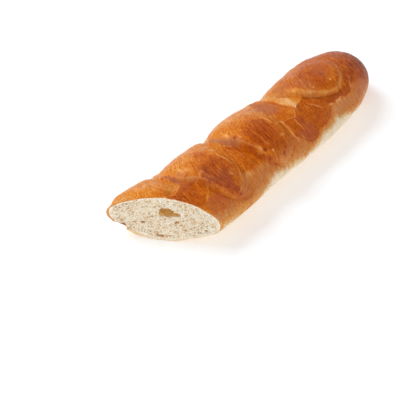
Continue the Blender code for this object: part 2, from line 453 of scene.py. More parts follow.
FOLDS = [Fold(pairs_of(line), *looks) for line, *looks in (
    # first score: below the first lobe's torn edge, and up to the second lobe's lip
    ("2,83 6,85 9,83.5 12.5,79.5 16.5,81.5 20,87.5 24,95 26,90 29,81 32,83 33,74 28,62 20,50 "
     "10,58", 0.73, 0, -0.2, 0.6),
    ("12,60 20,50 28,62 33,74 34,60 30,46 24,36 15,40", 0.71, 0.05),
    ("32,82 35,76 38,62 41,48 36,51 32,46 27,50 31,62", 0.6, 0, 0.3, 0.5),
    ("29,41 36,42 41,41 43,30 46,22 40,16 30,17 24,20 25,34", 0.67, 0.5, 0.2, 1.2),
    # the smooth pinker flank below the second and third lobes
    ("52,13 57,24 62,33 68,40 76,36 84,35 92,33 97,38 99,29 104,16 112,8 124,9 131,20 138,34 "
     "143,20 147,10 140,4 100,5 75,5 58,5", 0.43, 0.58, 0, 2.5, 0.65),
    # second lobe: dark middle, and the pinker dimple behind it
    ("40,90 50,94 60,90 66,76 64,58 57,56 58,42 54,26 48,30 44,42 41,58 38,74", 0.775, 0.05, 0,
     3.5, 0.85),
    ("43,60 49,66 56,62 57,44 55,27 50,26 45,40", 0.775, 0.4, 0, 2.5, 0.8),
    ("58,57 65,57 66,44 58,41", 0.62, 0.35, 0, 1.5),
    # second score
    ("78,110 82,108 86,96 90,82 93,67 96,53 98,38 94,33 78,34 72,40 74,70", 0.69, 0, 0, 1.5),
    # third lobe: dark middle
    ("97,84 104,100 114,104 123,92 120,76 119,56 124,44 116,38 104,36 99,46 96,60", 0.78, 0, 0, 3,
     0.8),
    # third score: stretched skin with a painted purple-grey sheen, the ramp, the bright facet,
    # painted light as a highlight, and its dull neighbour
    ("147,154 150,150 152,134 152,118 150,104 149,84 143,82 139,100 138,116 141,134", 0.64, 0.8,
     0, 2.4),
    ("143,92 150,88 156,92 159,84 160,75 163,73 157,64 152,57 146,60 141,62 141,80", 0.63, 0, 0.1,
     0.8),
    ("159,143 161,142 165,124 167,99 166,82 164.5,73 162,69.5 159.3,74 158,86 156.8,100 156,122",
     0.34, 0.14, 0.7, 0.5, 0.95),
    ("165,128 168,126 173,108 177,90 180,78 173,75 169,75 165,74 166,82 167,99", 0.47, 0.05, 0.2,
     0.5),
    # the dark leaf of opened dough, with two facets in it
    ("139,60 146,60 152,55.5 157,61.5 161,67 165,71.5 170,74.5 174,75 180,78 184,68 188,60 193,54 "
     "195,40 194,32 191.5,27 188,21.5 182,17.5 170,16 163,15 158,10 152,11 146,15 143,21 138,30",
     0.72, 0, -0.1, 0.5, 0.95),
    ("151,55 158,58 159,42 155,37 150,38", 0.78, 0.2, 0.2, 0.6),
    ("140,34 150,36 156,36 162,28 162,16 158,10 152,11 146,15 143,21", 0.69, 0.5, 0.1, 2.2),
    # under the fourth lobe, darker partly as painted shade beneath its lip, and the duller flank
    # beside it
    ("186,58 192,51 199,44.5 208,40 215,42 221,47 226,53 230,60 235,62 241,56 241,46 234,40 "
     "228.5,38 222.5,30.5 215.5,26.5 212.5,28 208,30.5 203,28 197,29.5 193.5,32 191,38", 0.79, 0,
     -0.2, 0.7, 0.9),
    ("189,21 192,26.5 194.5,31 197,29 203,27.5 208,30 212.5,27.5 215.5,26 222.5,30 228.5,36 "
     "240,32 250,24 244,10 215,9 195,14", 0.48, 0.5, 0.1, 1.5),
)]
PATCHES = [Patch(*row) for row in (
    # lighter and darker patches on the first three lobes: the lighter shoulders on the upper left
    # are partly painted highlight, and the small pale ones at (33, 111), (36, 103), (37.5, 80),
    # (70, 110) and (97, 52) are painted highlights
    (0, 118, 12, 26, -0.06), (33, 111, 1.4, 8, -0.14, 0, 0.3, 0.3),
    (31, 95.5, 0.8, 1.7, 0.3, 0.4, 0, -0.3), (48, 122, 14, 12, -0.05),
    (70, 110, 1.3, 5, -0.14, 0, 0.6, 0.25), (56, 115, 5.5, 13, 0.19), (30, 107, 4, 8, 0, 0.5, 0.1),
    (36, 103, 2.2, 7, -0.13, 0, 0.2), (37.5, 80, 1.8, 3.5, -0.14, 0, 0.25),
    (41, 67, 4, 16, 0, 0.5), (43.5, 37, 3, 10, -0.08), (77, 54, 3.5, 8, -0.08),
    (69, 91, 1.5, 4, 0.12), (85.5, 75, 2, 10, 0.09), (97, 52, 1.4, 8, -0.2, 0, 0.25),
    (97.5, 91, 1.6, 5, 0.14), (105, 75, 1.4, 6, -0.1), (113, 62, 1.4, 8, -0.09),
    (61, -2, 6, 4, 0.12, 0.3), (135, 125, 5, 22, 0.07, 0.3), (131, 92, 4, 26, -0.08),
    (200, 128, 22, 10, -0.04, 0.2), (220, 74, 8, 14, -0.06),
    # highlights and the pit along the third lobe's lip
    (88.8, 110, 0.8, 5, -0.16, 0, 0.7, 0.25, -8), (89.8, 121, 0.8, 2, -0.1, 0, 0.5, 0.2),
    (90.6, 95, 1.2, 3, 0.45, 0, 0, -0.5, -8), (92.8, 88, 0.8, 2.5, -0.12, 0, 0.3, 0.2),
    # small burnt spots, and wider patches near them; the lighter one at (15, 94) is a painted
    # highlight
    (54.3, 21, 0.9, 1.6, 0.3, 0, 0, -0.4), (99, 46, 1.1, 2.4, 0.55, 0, 0, -0.4),
    (113.8, 27, 1.3, 3, 0.45, 0, 0, -0.3), (116.8, 33, 1, 2.2, 0.36), (155.8, 85, 1.2, 7, 0.12),
    (15, 94, 5, 6, -0.12, 0, 0.25), (103, 8, 10, 5, -0.1), (214, 12, 1.6, 1.2, 0.2, 0.3),
    (207.5, 28.5, 0.8, 1.4, 0.3, 0, 0, -0.3), (234, 94, 5, 13, 0.1),
    (22, 134, 1.6, 3, 0.3, 0, 0, -0.5), (87, 141, 1.6, 3, 0.25, 0, 0, -0.4),
    # pale specks
    (40.6, 82, 0.9, 2.6, -0.15, 0, 0.6, 0.3), (75.5, 33, 1.8, 4, -0.08, 0, 0.25),
    (104, 39, 0.9, 1.8, -0.2, 0, 0.9, 0.25), (105, 53, 0.6, 3, -0.1, 0, 0.35, 0.2),
    (124, 49, 1.5, 2, -0.1, 0, 0.35, 0.2), (189.5, 75.7, 0.7, 1.2, -0.2, 0, 0.9, 0.2),
    (209.4, 63.3, 0.8, 1.2, -0.2, 0, 0.9, 0.2),
    # the fourth lobe's brown top and the rounded end; the lighter patches at (194, 49) and (218,
    # 56) along the lobe's rim and at (161.5, 88) on the bright facet are painted highlights, and
    # the darker ones at (266, 20) and (240, 18), low on the end's right, are painted shade
    (204, 86, 9, 12, 0.1), (194, 113, 16, 14, 0.09, 0.2), (228, 134, 40, 22, 0.12, 0.5),
    (186, 140, 12, 10, 0.04, 0.5), (206, 20, 26, 11, -0.12, 0.75), (200, 100, 18, 16, 0.08),
    (214, 106, 2, 12, 0.04, 0.4), (266, 88, 17, 60, 0.23, 0.2), (258, 96, 12, 26, 0, 0.35),
    (266, 20, 14, 24, 0.12, 0.4), (240, 18, 16, 14, 0.08, 0.3), (173, 122, 13, 20, 0, 0.55),
    (187, 94, 6, 30, 0, 0.5), (211, 92, 8, 22, 0, 0.45), (249, 104, 6, 18, 0, 0.55),
    (42, 15, 11, 9, -0.05, 0.6), (26, 91, 8, 14, -0.01, 0.35), (216, 104, 5, 16, 0, 0.35),
    (245, 104, 7, 16, 0, 0.35), (194, 49, 10, 10, -0.07), (218, 56, 16, 7, -0.05),
    (212, 0, 18, 8, 0.07), (252, 50, 14, 26, 0.1, 0.1), (155, 70, 3, 5, -0.12),
    (161.5, 88, 4, 16, -0.04, 0, 0.48), (28, 16, 7, 8, -0.12, 0.6), (-20, 195, 5, 8, 0.3, 0.4),
    (35, 62, 5, 9, 0.06), (112, 4, 18, 7, -0.1), (58, 18, 12, 10, 0.12, 0.2),
)]
STROKES = [Stroke(pairs_of(line), *looks) for line, *looks in (
    # painted purple-grey sheen on the stretched skin of the first and second scores
    ("24.6,139 25,131 24.9,124 24.7,117 24.8,109", 1.2, -0.5, 0.14, 0, 1),
    ("25,120 25.8,108 26.2,98 26.8,90", 1.6, -0.2, 0.02, 0, 1),
    ("80,150 82,132 84,117 86.6,103 89.5,91 93,78", 1.8, -0.15, -0.06, 0, 0.9),
    # stretch marks on the first lobe
    ("7,121 8.6,110 11,99 13,93", 0.5, 0.2, -0.12, 0.35),
    ("11,119 12.8,108 15,98", 0.45, 0.2, -0.12, 0.3),
    ("3,112 4.5,102 7,94", 0.45, 0.2, -0.1, 0.25),
    ("16,116 17.6,107 19,98", 0.4, 0.15, -0.1, 0.25),
    # the torn lower edge of the first lobe, and creases below it
    ("2,84.5 6,86.5 9,85 12.5,81 16.5,83 20,89 24,96.5", 0.6, 0.45, -0.12, 0.2),
    ("26,88 29,80 32,83", 0.5, -0.3, 0.18),
    ("32,72 33,77 35,78", 0.4, 0.2, -0.12, 0.35),
    ("36,52 32,46 27,36", 0.45, 0.25, -0.12, 0.2),
    ("24,70 25,62 24,55", 0.5, 0.2, -0.08, 0.12),
    # the second lobe's lip, the crease inside it, and wrinkles round its tip
    ("26.5,122 28.5,107 30.5,95 33.5,85 37,73 39,64", 0.6, 0.25, -0.1, 0.25, 0.5),
    ("38,68 40,59 42.7,45 45.5,33 49.5,22 54,15", 0.6, 0.2, -0.03, 0.04, 0.35),
    ("35,88 39,73 42,59 44.5,45 47.5,33", 0.8, -0.25, 0.08),
    ("53,14 58,11.5 64,11.5 70,15", 0.5, -0.3, 0.16, 0, 0.3),
    ("54,22 56,25 58.5,28", 0.5, 0.3, -0.12, 0.6),
    ("56,17 60,16 66,18", 0.5, 0.2, -0.08, 0.2),
    ("62,22 68,25 74,27", 0.5, 0.2, -0.08, 0.12),
    # wrinkles in the second lobe's middle and stretch marks on its back
    ("42.5,86 44.5,72 46.5,59 50,46", 0.9, -0.35, 0.09),
    ("47,84 48.6,70 50.5,57 53,43", 0.8, -0.35, 0.08),
    ("51.5,76 52.6,63 54,50 56.5,38", 0.9, -0.35, 0.1),
    ("41.5,62 44.4,50 47.5,39 52,29", 0.8, -0.35, 0.1),
    ("56.5,72 57,60 58.5,48", 0.8, -0.3, 0.07),
    ("45,80 47,66 49,54", 0.6, 0.25, -0.06),
    ("50,66 52,54 54.5,43", 0.6, 0.25, -0.06),
    ("71,88 72.4,72 71.4,58 68,44 63,33", 0.5, 0.2, -0.1, 0.28),
    ("82.5,84 84,68 82.6,54", 0.45, 0.2, -0.1, 0.25),
    ("76,50 75.5,40 72,31 66,24 60,20", 0.5, 0.2, -0.08, 0.22),
    ("60,34 60.5,27 57.5,21", 0.5, 0.2, -0.1, 0.25),
    ("57,56 58,51 60,47", 0.5, 0.25, -0.14, 0.35),
    ("67,96 67.6,82 67.6,70 67,58", 0.8, 0.35, -0.18, 0.4),
    ("73.5,92 74,76 73,60", 0.5, 0.22, -0.14, 0.25),
    ("77,92 77.5,76 77,62", 0.5, 0.22, -0.12, 0.2),
    ("79.5,96 79.5,78", 0.5, 0.2, -0.12, 0.3),
    # the third lobe: lip, dark pleats, pale ridge, and the arc of its tip
    ("89,100 91.5,83 94,67 96.5,53 98.6,40", 0.5, 0.2, -0.08, 0.15, 0.3),
    ("98.5,40 99.5,31 101.5,24 105,16.5 109.5,10.5 114,8 119,9 123,12 127,18 131,22", 0.55, -0.3,
     0.16, 0, 0.4),
    ("103,30 106,22 110,15 115,13 120,15", 0.6, 0.2, -0.05, 0.08),
    ("101.5,58 102.3,68 104,79", 0.8, -0.35, 0.1),
    ("105,52 106.4,64 108.2,75 110.4,84", 0.9, -0.5, 0.17),
    ("109.5,53 110.4,63 111.6,73", 0.7, -0.3, 0.08),
    ("112.6,52 113.6,65 115.2,78 117.5,88", 0.9, -0.4, 0.12),
    ("116.4,50 117.2,60 118.2,69", 0.8, -0.3, 0.09),
    ("119.6,54 120.5,67 121.6,80 124,95", 1, -0.65, 0.21),
    ("103.4,50 104.6,60 106.2,68", 0.7, 0.35, -0.12, 0.2),
    ("111.2,54 112.2,66 113.4,74", 0.7, 0.25, -0.08),
    ("118,52 119,64 119.8,73", 0.7, 0.25, -0.08, 0.1),
    ("125.5,99 126.4,88 126.6,80 126,73", 1, 0.35, -0.15, 0.45),
    # crackled skin behind the third lobe
    ("129,68 134,69 138,67 138.8,62 138.3,55 137.8,47 136.4,40 137.2,32 138,21", 0.55, 0.3, -0.14,
     0.7),
    ("144,29 143.6,19", 0.5, 0.2, -0.1, 0.35),
    # edges of the bright facet and the leaf
    ("141,61 146,60.5 152,57.5 157,64.5 161,70.5 164,73.5 170,75.5 175,76", 0.5, 0.4, -0.16, 0.3),
    ("167,112 167.3,99 166.3,84 164.6,74.5", 0.45, 0.3, -0.12, 0.4),
    ("154,132 153.4,118 154,102 156.2,86", 1.1, -0.35, 0.16, 0, 0.5),
    ("150,56 149.6,45 150,35", 0.5, 0.3, -0.14, 0.45),
    ("173.8,61 177.7,52 180.6,43 183,36", 0.5, 0.3, -0.14, 0.45),
    ("170.5,63 171,52", 0.4, 0.2, -0.1, 0.3),
    ("143,21 146,15 152,11 158,10 163,15", 0.5, -0.25, 0.12, 0, 0.4),
    # the fourth lobe's smooth rim, painted lighter as a highlight, its edge, and marks on it
    ("173,118 176,101 179,89 182,78 186,69 190,62 195,56 200,51 205,48 210,46 215,49 220,55 "
     "226,64 228,72", 1.6, 0.1, -0.2, 0.14),
    ("171.8,116 177,89 183,69 192,54 203,44.5 209,42.5 215,45 220,50 224,57 229,62 233,66", 0.5,
     0.15, -0.08, 0.25, 0.2),
    ("211,92 210,86 209.3,79", 0.7, -0.25, 0.18),
    ("230.6,66 231,82 229.5,97 225.5,112 219,128 208,142", 3.4, 0.7, 0, 0, 0.1),
    # cracks along the leaf's lower right edge
    ("191.5,35.5 193.5,33 195.5,31 197.5,30", 0.6, 0.3, -0.18, 0.6),
    ("200.5,28 203.5,28.5 208.5,31.5", 0.7, 0.3, -0.2, 0.8),
    ("222,31 226,36 229,43 230,50", 0.5, 0.2, -0.12, 0.3),
)]

# Where the brown side gives way to the pale underside: x in millimetres and angle in degrees.
PALE_BELOW = pairs_of(
    "-40,-16 18,-16 22,-10 26,-7 30,-1 40,-3 50,-8 58,-14 66,-12 75,-4 85,2 95,5 105,5 120,1 "
    "140,-1 150,2 160,7 170,11 180,13 190,14 205,10 215,3 225,-3 240,-8 256,-17 268,-34 280,-62"
)
# How brown the skin is before its details, by angle: most on top, towards the right.
BASE_BAKE = pairs_of(
    "-90,0.14 -30,0.1 -5,0.28 12,0.46 30,0.58 60,0.66 92,0.6 112,0.55 132,0.49 150,0.42 170,0.38 "
    "192,0.34 212,0.18 235,0.12 270,0.14"
)

# How far stretch marks lean from straight across towards the tip, by angle.
LEAN = pairs_of("-90,0 20,0 50,0.1 85,0.3 125,0.9 180,1 270,0.5")


def path_distance(x, arc, path):
    """Distance to a line through points, and how far along it the nearest point is, 0 to 1."""
    points = path * (MM, ARC_PER_DEGREE)
    steps = np.hypot(*np.diff(points, axis=0).T)
    runs = np.concatenate(([0.0], np.cumsum(steps))) / steps.sum()
    best = np.full(np.shape(x), np.inf)
    place = np.zeros_like(best)
    for i in range(len(steps)):
        (ax, ay), (bx, by) = points[i], points[i + 1]
        share = ((x - ax) * (bx - ax) + (arc - ay) * (by - ay)) / steps[i] ** 2
        share = np.clip(share, 0.0, 1.0)
        far = np.hypot(x - ax - share * (bx - ax), arc - ay - share * (by - ay))
        nearer = far < best
        best = np.where(nearer, far, best)
        place = np.where(nearer, runs[i] + share * (runs[i + 1] - runs[i]), place)
    return best, place


def depth_inside(x, arc, corners):
    """Distance to a closed outline, above zero inside it and below zero outside."""
    far, _ = path_distance(x, arc, np.vstack((corners, corners[:1])))
    inside = np.zeros(np.shape(x), dtype=bool)
    points = corners * (MM, ARC_PER_DEGREE)
    for (ax, ay), (bx, by) in zip(points, np.roll(points, -1, axis=0)):
        if ay == by:
            continue
        crossed = (arc < ay) != (arc < by)
        inside ^= crossed & (x < ax + (arc - ay) * (bx - ax) / (by - ay))
    return np.where(inside, far, -far)


def leaned(angle):
    """How far towards the tip a stretch mark has moved at an angle, from where it began below."""
    each_degree = np.arange(-90.0, 271.0)
    moved = np.concatenate(([0.0], np.cumsum(read_off(each_degree[1:], LEAN))))
    return np.interp(angle, each_degree, moved * ARC_PER_DEGREE)


def flap(angle):
    """How far the torn crust stands out below the cut's left corner."""
    return FLAP_HEIGHT * plateau(angle, FLAP_ANGLES)


def marked(x, arc):
    """Every patch and stroke, with how strongly it shows at each place."""
    for patch in PATCHES:
        from_x, from_arc = x - patch.x * MM, arc - patch.angle * ARC_PER_DEGREE
        along, around = turned(from_x, from_arc, math.radians(patch.lean))
        along = along / (patch.along * MM)
        around = around / (patch.around * ARC_PER_DEGREE)
        yield patch, np.exp(-(along**2) - around**2)
    for stroke in STROKES:
        far, place = path_distance(x, arc, stroke.path)
        thin = np.clip(4.0 * place * (1.0 - place), 0.0, 1.0) ** 0.5
        yield stroke, bell(far, stroke.width * MM) * thin


def crust_fields(x, angle):
    """Radial relief and colour masks of the crust at x and angle."""
    angle = unrolled(angle)
    arc = angle * ARC_PER_DEGREE
    y, z = skin(x, angle % 360.0)
    solid = np.stack((x, y, z), axis=-1)
    bent_x, bent_arc = (
        drawn
        + STRAY * noise(solid, SLOW_SIZE, seed)
        + 0.5 * STRAY * noise(solid, QUICK_SIZE, seed + 3)
        for drawn, seed in ((x, 11), (arc, 12))
    )

    top = plateau(angle, TOP_ANGLES)
    bake = read_off(angle, BASE_BAKE) + END_BROWNING * ease(*END_BROWNS, x)
    middle, reach, strength = RIGHT_BLUSH
    blush = strength * bump_at(angle - middle, reach) * ease(*RIGHT_BLUSH_FROM, x)
    # Painted sheen: the left side is darker and purple-grey where it is seen at a grazing angle.
    middle, reach, strength = LEFT_GRAZING_SHEEN
    blush += strength * bump_at(angle - middle, reach)
    pale = np.zeros_like(bake)
    height = np.zeros_like(bake)

    # Stretched skin wrinkles along the lobes.
    flow = np.stack((arc / MM, (x - leaned(angle)) / MM), axis=-1)
    wrinkles = noise(flow / WRINKLE_SIZE, 1.0, 21)
    fine = noise(flow / FINE_WRINKLE_SIZE, 1.0, 22)

    for fold in FOLDS:
        inside = depth_inside(bent_x, bent_arc, fold.corners)
        inside += fold.soft * MM * (0.9 * wrinkles + 0.6 * fine)
        weight = fold.strength * ease(-fold.soft * MM, fold.soft * MM, inside)
        bake += weight * (fold.bake - bake)
        blush += weight * (fold.blush - blush)
        height += fold.lift * MM * weight

    for mark, weight in marked(bent_x, bent_arc):
        bake += mark.bake * weight
        blush = np.maximum(blush, mark.blush * weight)
        pale = np.maximum(pale, mark.pale * weight)
        height += mark.height * MM * weight

    # The pale and dusty underside, and the brown nose.
    edge = read_off(x / MM, PALE_BELOW) + EDGE_STRAY * noise(solid, EDGE_STRAY_SIZE, 16)
    left_edge = LEFT_EDGE + LEFT_EDGE_SINKS_BY * ease(*LEFT_EDGE_SINKS, x)
    floured = 1.0 - ease(*RIGHT_EDGE_FADE, angle - edge)
    floured += ease(left_edge, left_edge + LEFT_EDGE_FADE, angle)
    floured = np.clip(floured, 0.0, 1.0)
    nose = ease(*NOSE, x)
    low_down = 1.0 - ease(*LOW_ON_RIGHT, angle) + ease(*LOW_ON_LEFT, angle)
    bake += nose * low_down * (NOSE_BAKE - bake)
    floured = floured * (1.0 - nose)
    bake = bake * (1.0 - FLOUR_PALES * floured)
    blush = blush * (1.0 - FLOUR_HIDES_BLUSH * floured)

    # The knife tore the skin at the cut's lower left.
    behind_cut = x + math.tan(CUT_ANGLE) * y
    torn = bump_at(behind_cut, TORN_REACH) * bell(angle - TORN_ANGLE, TORN_SPREAD)
    shreds = noise(np.stack((arc, behind_cut), axis=-1), SHRED_SIZE, 91)
    shreds += 0.7 * noise(solid, FINE_SHRED_SIZE, 92)
    height += torn * MM * (shreds - 0.5)
    standing = flap(angle) + bells(angle, CORNER_SHAPE)
    height += bump_at(behind_cut, FLAP_REACH) * standing
    browned = torn * (1.0 - flap(angle) / FLAP_HEIGHT)
    bake += TORN_BAKE * browned
    blush = np.maximum(blush, TORN_BLUSH * browned)

    # Wrinkles, blisters, and the uneven surface of baked dough.
    taut = ease(-0.25, 0.35, noise(solid, TAUT_SIZE, 33)) * top
    stretched = 0.25 + 0.75 * taut * ease(0.45, 0.7, bake)
    crinkled = WRINKLE_HEIGHT * wrinkles + FINE_WRINKLE_HEIGHT * fine
    height += top * stretched * MM * crinkled
    height += SLOW_HEIGHT * noise(solid, SLOW_SIZE, 31)
    height += QUICK_HEIGHT * noise(solid, QUICK_SIZE, 32)
    near, number = cells(np.stack((x, arc), axis=-1), BLISTER_SPACING, 41)
    blister = bump_at(near, BLISTER_RADIUS) * ease(*BLISTER_RARITY, number)
    height += BLISTER_HEIGHT * blister * top
    bake = bake - (0.07 * wrinkles + 0.05 * fine) * top * stretched
    bake += 0.05 * noise(solid, 5.0 * MM, 51) + 0.06 * blister * top
    masks = {
        "bake": np.clip(bake, 0.0, 1.0),
        # Blush, partly a painted purple-grey sheen along the score lips and the left side.
        "blush": np.clip(blush, 0.0, 1.0),
        # Pale specks and cracks, and painted highlights.
        "pale": np.clip(pale, 0.0, 1.0),
        "floured": floured,
        "taut": taut,
        "rosy": 1.0 - ease(*ROSY_ANGLES, angle),
        "flow_along": flow[..., 0],
        "flow_across": flow[..., 1],
    }
    return height, masks


# --- Meshes ---


def rim_thickness(angle):
    """Thickness of the brown crust in the cut, uneven round the loaf."""
    place = np.stack((np.cos(np.radians(angle)), np.sin(np.radians(angle))), axis=-1)
    uneven = 1.0 + 0.35 * noise(place, 0.22, 61) + 0.2 * noise(place, 0.06, 62)
    thicker = CORNER_THICKNESS * bell(angle - CORNER_ANGLE, CORNER_SPREAD)
    return CRUST_THICKNESS * uneven + thicker + FLAP_SHARE * flap(angle)


def cut_ring(angle, behind, extra):
    """Points where the crust, moved out by extra, meets a plane that far behind the cut."""
    x = cut_line(angle, behind, extra)
    return np.stack((x, *skin(x, angle, extra)), axis=1)


def crust_mesh():
    """The crust: its skin from the cut to the tip, its rim in the cut, and the pocket behind."""
    spaced = even_angles()
    angle = spaced % 360.0
    cut_x = cut_line(angle)
    cap_x = CUT_TO_TIP - END_CAP
    rings = []
    for i in range(BODY_RINGS):
        slant = 1.0 - ease(SQUARE_FROM, 1.0, i / BODY_RINGS)
        rings.append(cut_x * slant + cap_x * i / BODY_RINGS)
    for i in range(CAP_RINGS):
        share = math.sin(0.5 * math.pi * i / CAP_RINGS)
        rings.append(np.full_like(angle, cap_x + END_CAP * share))
    x = np.array(rings)
    turn = np.broadcast_to(angle, x.shape)
    height, masks = crust_fields(x, turn)
    height = height * plateau(unrolled(turn), OFF_BASE_ANGLES) * cap_taper(x, NOSE_SMOOTH_POWER)
    y, z = skin(x, turn, height)
    x = x.copy()
    x[0] = -math.tan(CUT_ANGLE) * y[0]
    outer = np.stack((x, y, z), axis=-1)

    thick = rim_thickness(spaced)
    rim = cut_ring(angle, 0.0, height[0] - thick)
    rim[:, 2] = np.maximum(rim[:, 2], 0.7 * thick)
    deep = cut_ring(angle, POCKET_DEPTH, -POCKET_INSET)
    deep[:, 2] = np.maximum(deep[:, 2], 2.0 * CRUST_THICKNESS)
    points = np.concatenate((deep[None], rim[None], outer)).reshape(-1, 3)
    count = len(angle)
    pairs = [(i, (i + 1) % count) for i in range(count)]
    faces = []
    for low in range(0, (len(outer) + 1) * count, count):
        high = low + count
        faces += [(low + i, low + j, high + j, high + i) for i, j in pairs]
    tip_number = len(points)
    tip = (CUT_TO_TIP, float(sway(CUT_TO_TIP)), WIDEST_AT * HEIGHT_AT_CUT - BASE_TRIM)
    points = np.vstack((points, tip, deep.mean(axis=0)))
    last = tip_number - count
    for i, j in pairs:
        faces += [(last + i, last + j, tip_number), (j, i, tip_number + 1)]
    # The pocket and the rim carry the first ring's masks, and are marked as cut crust.
    padded = {"rim": np.concatenate((np.ones(2 * count), np.zeros(x.size), (0.0, 1.0)))}
    for name, values in masks.items():
        rows = np.concatenate((values[:1], values[:1], values)).reshape(-1)
        padded[name] = np.concatenate((rows, (values[-1].mean(), values[0].mean())))
    return points, faces, padded


# --- The crumb ---

# A bubble in the crumb, by its place across the cut and above the base, in millimetres.
Hole = namedtuple("Hole", "across up half_width half_height lean depth")
BIG_HOLE = (
    Hole(-8, 27.6, 6.3, 4.7, 0, 7.5),
    Hole(-14.4, 26.3, 4.8, 2.2, 6, 5),
    Hole(-4.6, 25.6, 3.1, 2.9, 0, 5),
)
HOLES = [Hole(*row) for row in (
    (18, 15.4, 1.1, 0.9, 0, 1.2), (10.3, 16.2, 2.2, 1.4, -20, 2.2), (7.1, 21, 0.9, 0.7, 0, 1.4),
    (5.2, 22.2, 0.8, 0.7, 0, 1.2), (3.2, 23, 1, 0.8, 0, 1.6), (-0.8, 34.5, 1.3, 2.4, 5, 0.9),
    (4.2, 36.8, 0.8, 0.6, 0, 1.5), (-15.5, 18.3, 2.4, 1.1, -40, 1.9),
    (-28.9, 20.7, 2.3, 1.7, 10, 0.9), (-31.8, 13.4, 0.9, 0.7, 0, 1.6),
    (-38.4, 13.2, 1.4, 0.7, -10, 1.7), (-33.5, 10.6, 2.4, 0.5, -8, 1.4),
    (-22.8, 11.7, 1.5, 0.8, 0, 1.2), (-2.6, 4, 3.4, 1.5, 5, 2.4), (-7.4, 4.3, 1.5, 0.9, -10, 1.5),
    (5, 7.6, 1.3, 0.8, 0, 1.2), (-42.2, 20, 0.8, 1.2, 0, 1), (-6, 12.8, 1, 0.7, 0, 1.1),
    (-24, 27.5, 1.6, 1.2, 0, 0.8), (-19, 31.5, 2.2, 0.7, -20, 0.7), (-18.9, 16, 0.9, 0.7, 0, 1.2),
)]
# Strands of crumb that stand at the big bubble's edge: place across and up, and size.
NUBS = (
    (-8.2, 31.4, 1.1), (-6.6, 31.8, 0.9), (-10.4, 31.8, 1.3), (-12.6, 30.8, 1.5),
    (-14.2, 29.6, 1.4), (-15.4, 28.9, 1.8), (-17.6, 28.4, 1.3), (-5.2, 32.2, 1.2),
    (-19, 27.2, 1.2),
)
# How uneven the holes' edges are, and how much deeper than given the smaller ones are made.
HOLE_RAGGED = 0.25
BIG_HOLE_RAGGED = 0.12
HOLE_DEEPER = 1.5
# The big bubble is shallow at its lower edge and full under its roof.
BIG_HOLE_SLOPE = (22.0 * MM, 31.0 * MM)
BIG_HOLE_SHALLOW = 0.3
# The small bubbles: how many, how high up, their sizes, of which few are large, and the ranges of
# their flatness, lean in radians, and depth as a share of their size.
PORE_SEED = 7
PORES = 14000
CRUMB_HEIGHT = 46.0 * MM
SMALLEST_PORE = 0.3 * MM
LARGEST_PORE = 1.3 * MM
PORE_DRAW = (0.03, 1.0)
PORE_POWER = -0.38
PORE_FLATNESS = (0.55, 1.0)
PORE_LEAN = (0.0, 0.7)
PORE_DEPTH = (0.8, 2.2)
# Fineness of the crumb mesh, the middle it spreads from, and the plug behind it.
CRUMB_GRID = 264
CRUMB_MIDDLE = (-2.5 * MM, 20.5 * MM)
CRUMB_ASPECT = 1.9
CRUMB_OVERLAP = 0.05 * MM
PLUG_DEPTH = 9.5 * MM
PLUG_TAPER = 0.88


def disc_grid(count):
    """Points that fill a unit circle, as a square grid pulled round: their u and v."""
    line = np.linspace(-1.0, 1.0, count + 1)
    a, b = np.repeat(line, count + 1), np.tile(line, count + 1)
    return a * np.sqrt(1.0 - 0.5 * b * b), b * np.sqrt(1.0 - 0.5 * a * a)


def rounded_hole(across, up, hole, ragged):
    """Depth of one bubble at each point of the cut, with an uneven edge."""
    place = np.stack((across, up), axis=-1)
    a, b = turned(across - hole.across * MM, up - hole.up * MM, math.radians(hole.lean))
    edge = 1.0 + ragged * noise(place, 2.2 * MM, 71) + 0.5 * ragged * noise(place, 0.9 * MM, 72)
    far = np.hypot(a / (hole.half_width * MM), b / (hole.half_height * MM)) * edge
    return hole.depth * MM * np.sqrt(np.clip(1.0 - far**4, 0.0, 1.0))


def pore_depths(across, up):
    """Depth of the small bubbles that fill the crumb: thousands of open cells of mixed size."""
    random = np.random.default_rng(PORE_SEED)
    order = np.argsort(across)
    sorted_across = across[order]
    sorted_up = up[order]
    depth = np.zeros_like(sorted_across)
    left, right = sorted_across[0], sorted_across[-1]
    for _ in range(PORES):
        centre_across = random.uniform(left, right)
        centre_up = random.uniform(0.0, CRUMB_HEIGHT)
        size = min(SMALLEST_PORE * random.uniform(*PORE_DRAW) ** PORE_POWER, LARGEST_PORE)
        flat = random.uniform(*PORE_FLATNESS)
        lean = random.normal(*PORE_LEAN)
        share = random.uniform(*PORE_DEPTH)
        low, high = np.searchsorted(sorted_across, (centre_across - size, centre_across + size))
        near = slice(low, high)
        a, b = turned(sorted_across[near] - centre_across, sorted_up[near] - centre_up, lean)
        a, b = a / size, b / (size * flat)
        bowl = share * size * np.sqrt(np.clip(1.0 - a * a - b * b, 0.0, 1.0))
        depth[near] = np.maximum(depth[near], bowl)
    result = np.empty_like(depth)
    result[order] = depth
    return result


